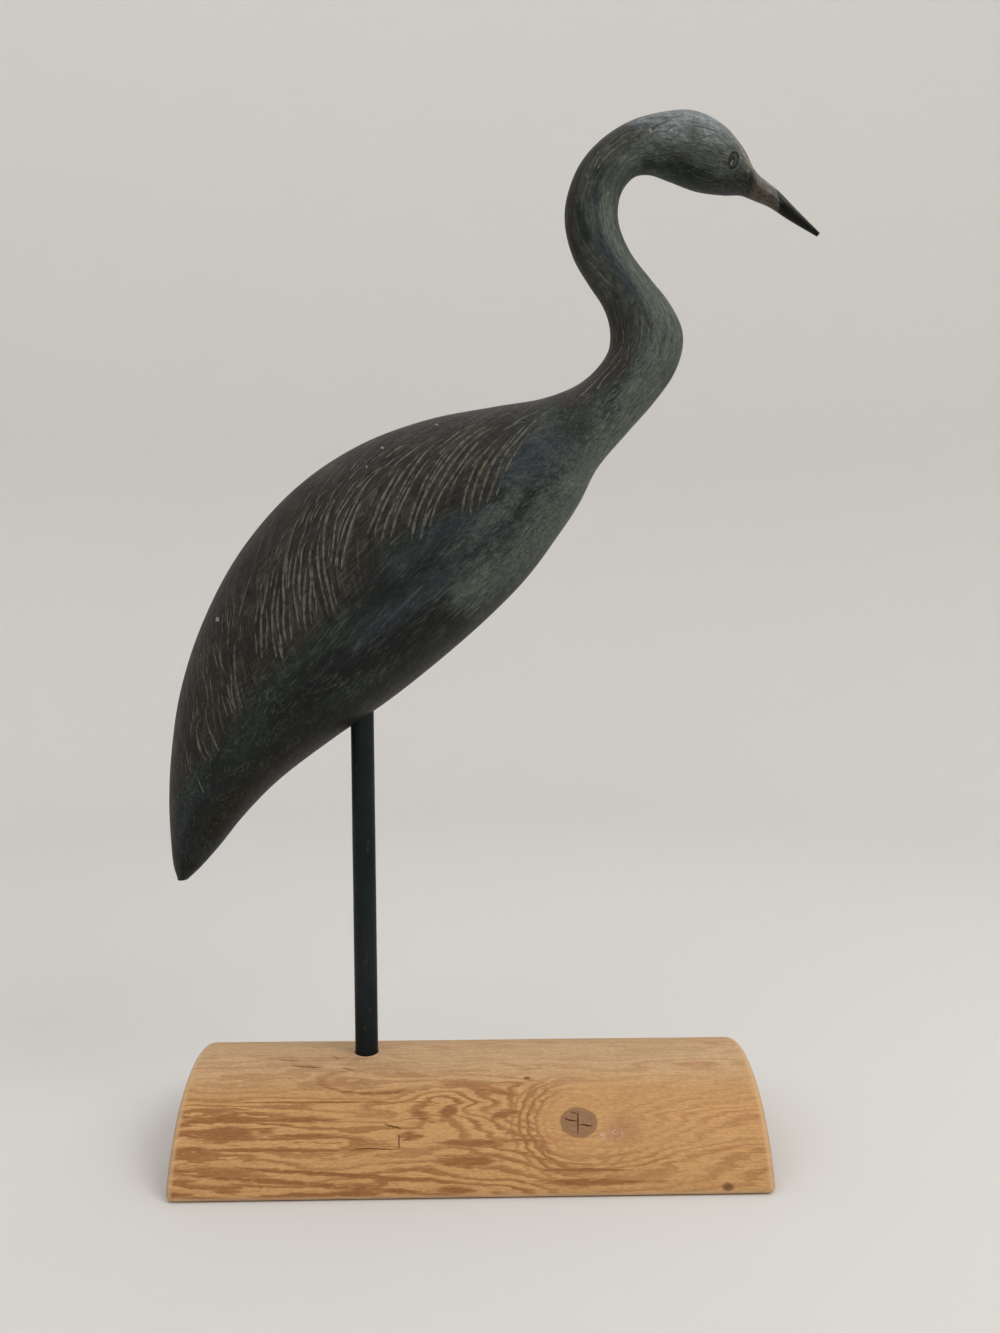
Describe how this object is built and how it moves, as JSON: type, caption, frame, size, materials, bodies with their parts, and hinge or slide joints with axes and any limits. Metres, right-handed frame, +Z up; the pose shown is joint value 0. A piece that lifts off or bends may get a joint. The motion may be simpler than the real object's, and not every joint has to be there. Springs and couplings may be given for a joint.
{
  "type": "carved wooden egret statue",
  "caption": "Carved wading bird with an S-shaped neck, painted dark, standing on one dowel leg in a half-log base.",
  "frame": {"origin": "middle of the log base's flat underside", "axes": "+Z up, +X the way the bird faces, along the log; Y = 0 is the bird's middle plane"},
  "size_m": [0.3529, 0.1318, 0.5593],
  "materials": {
    "painted_wood": "dark green-grey and umber paint rubbed satin over carved wood, worn paler along the gouge strokes",
    "painted_dowel": "blue-black satin paint",
    "bare_pine": "planed bare pine, matt, with flame grain, one knot and fine drying checks"
  },
  "bodies": {
    "root": {"carved_egret": "painted_wood", "leg_dowel": "painted_dowel", "log_base": "bare_pine"}
  },
  "joints": []
}
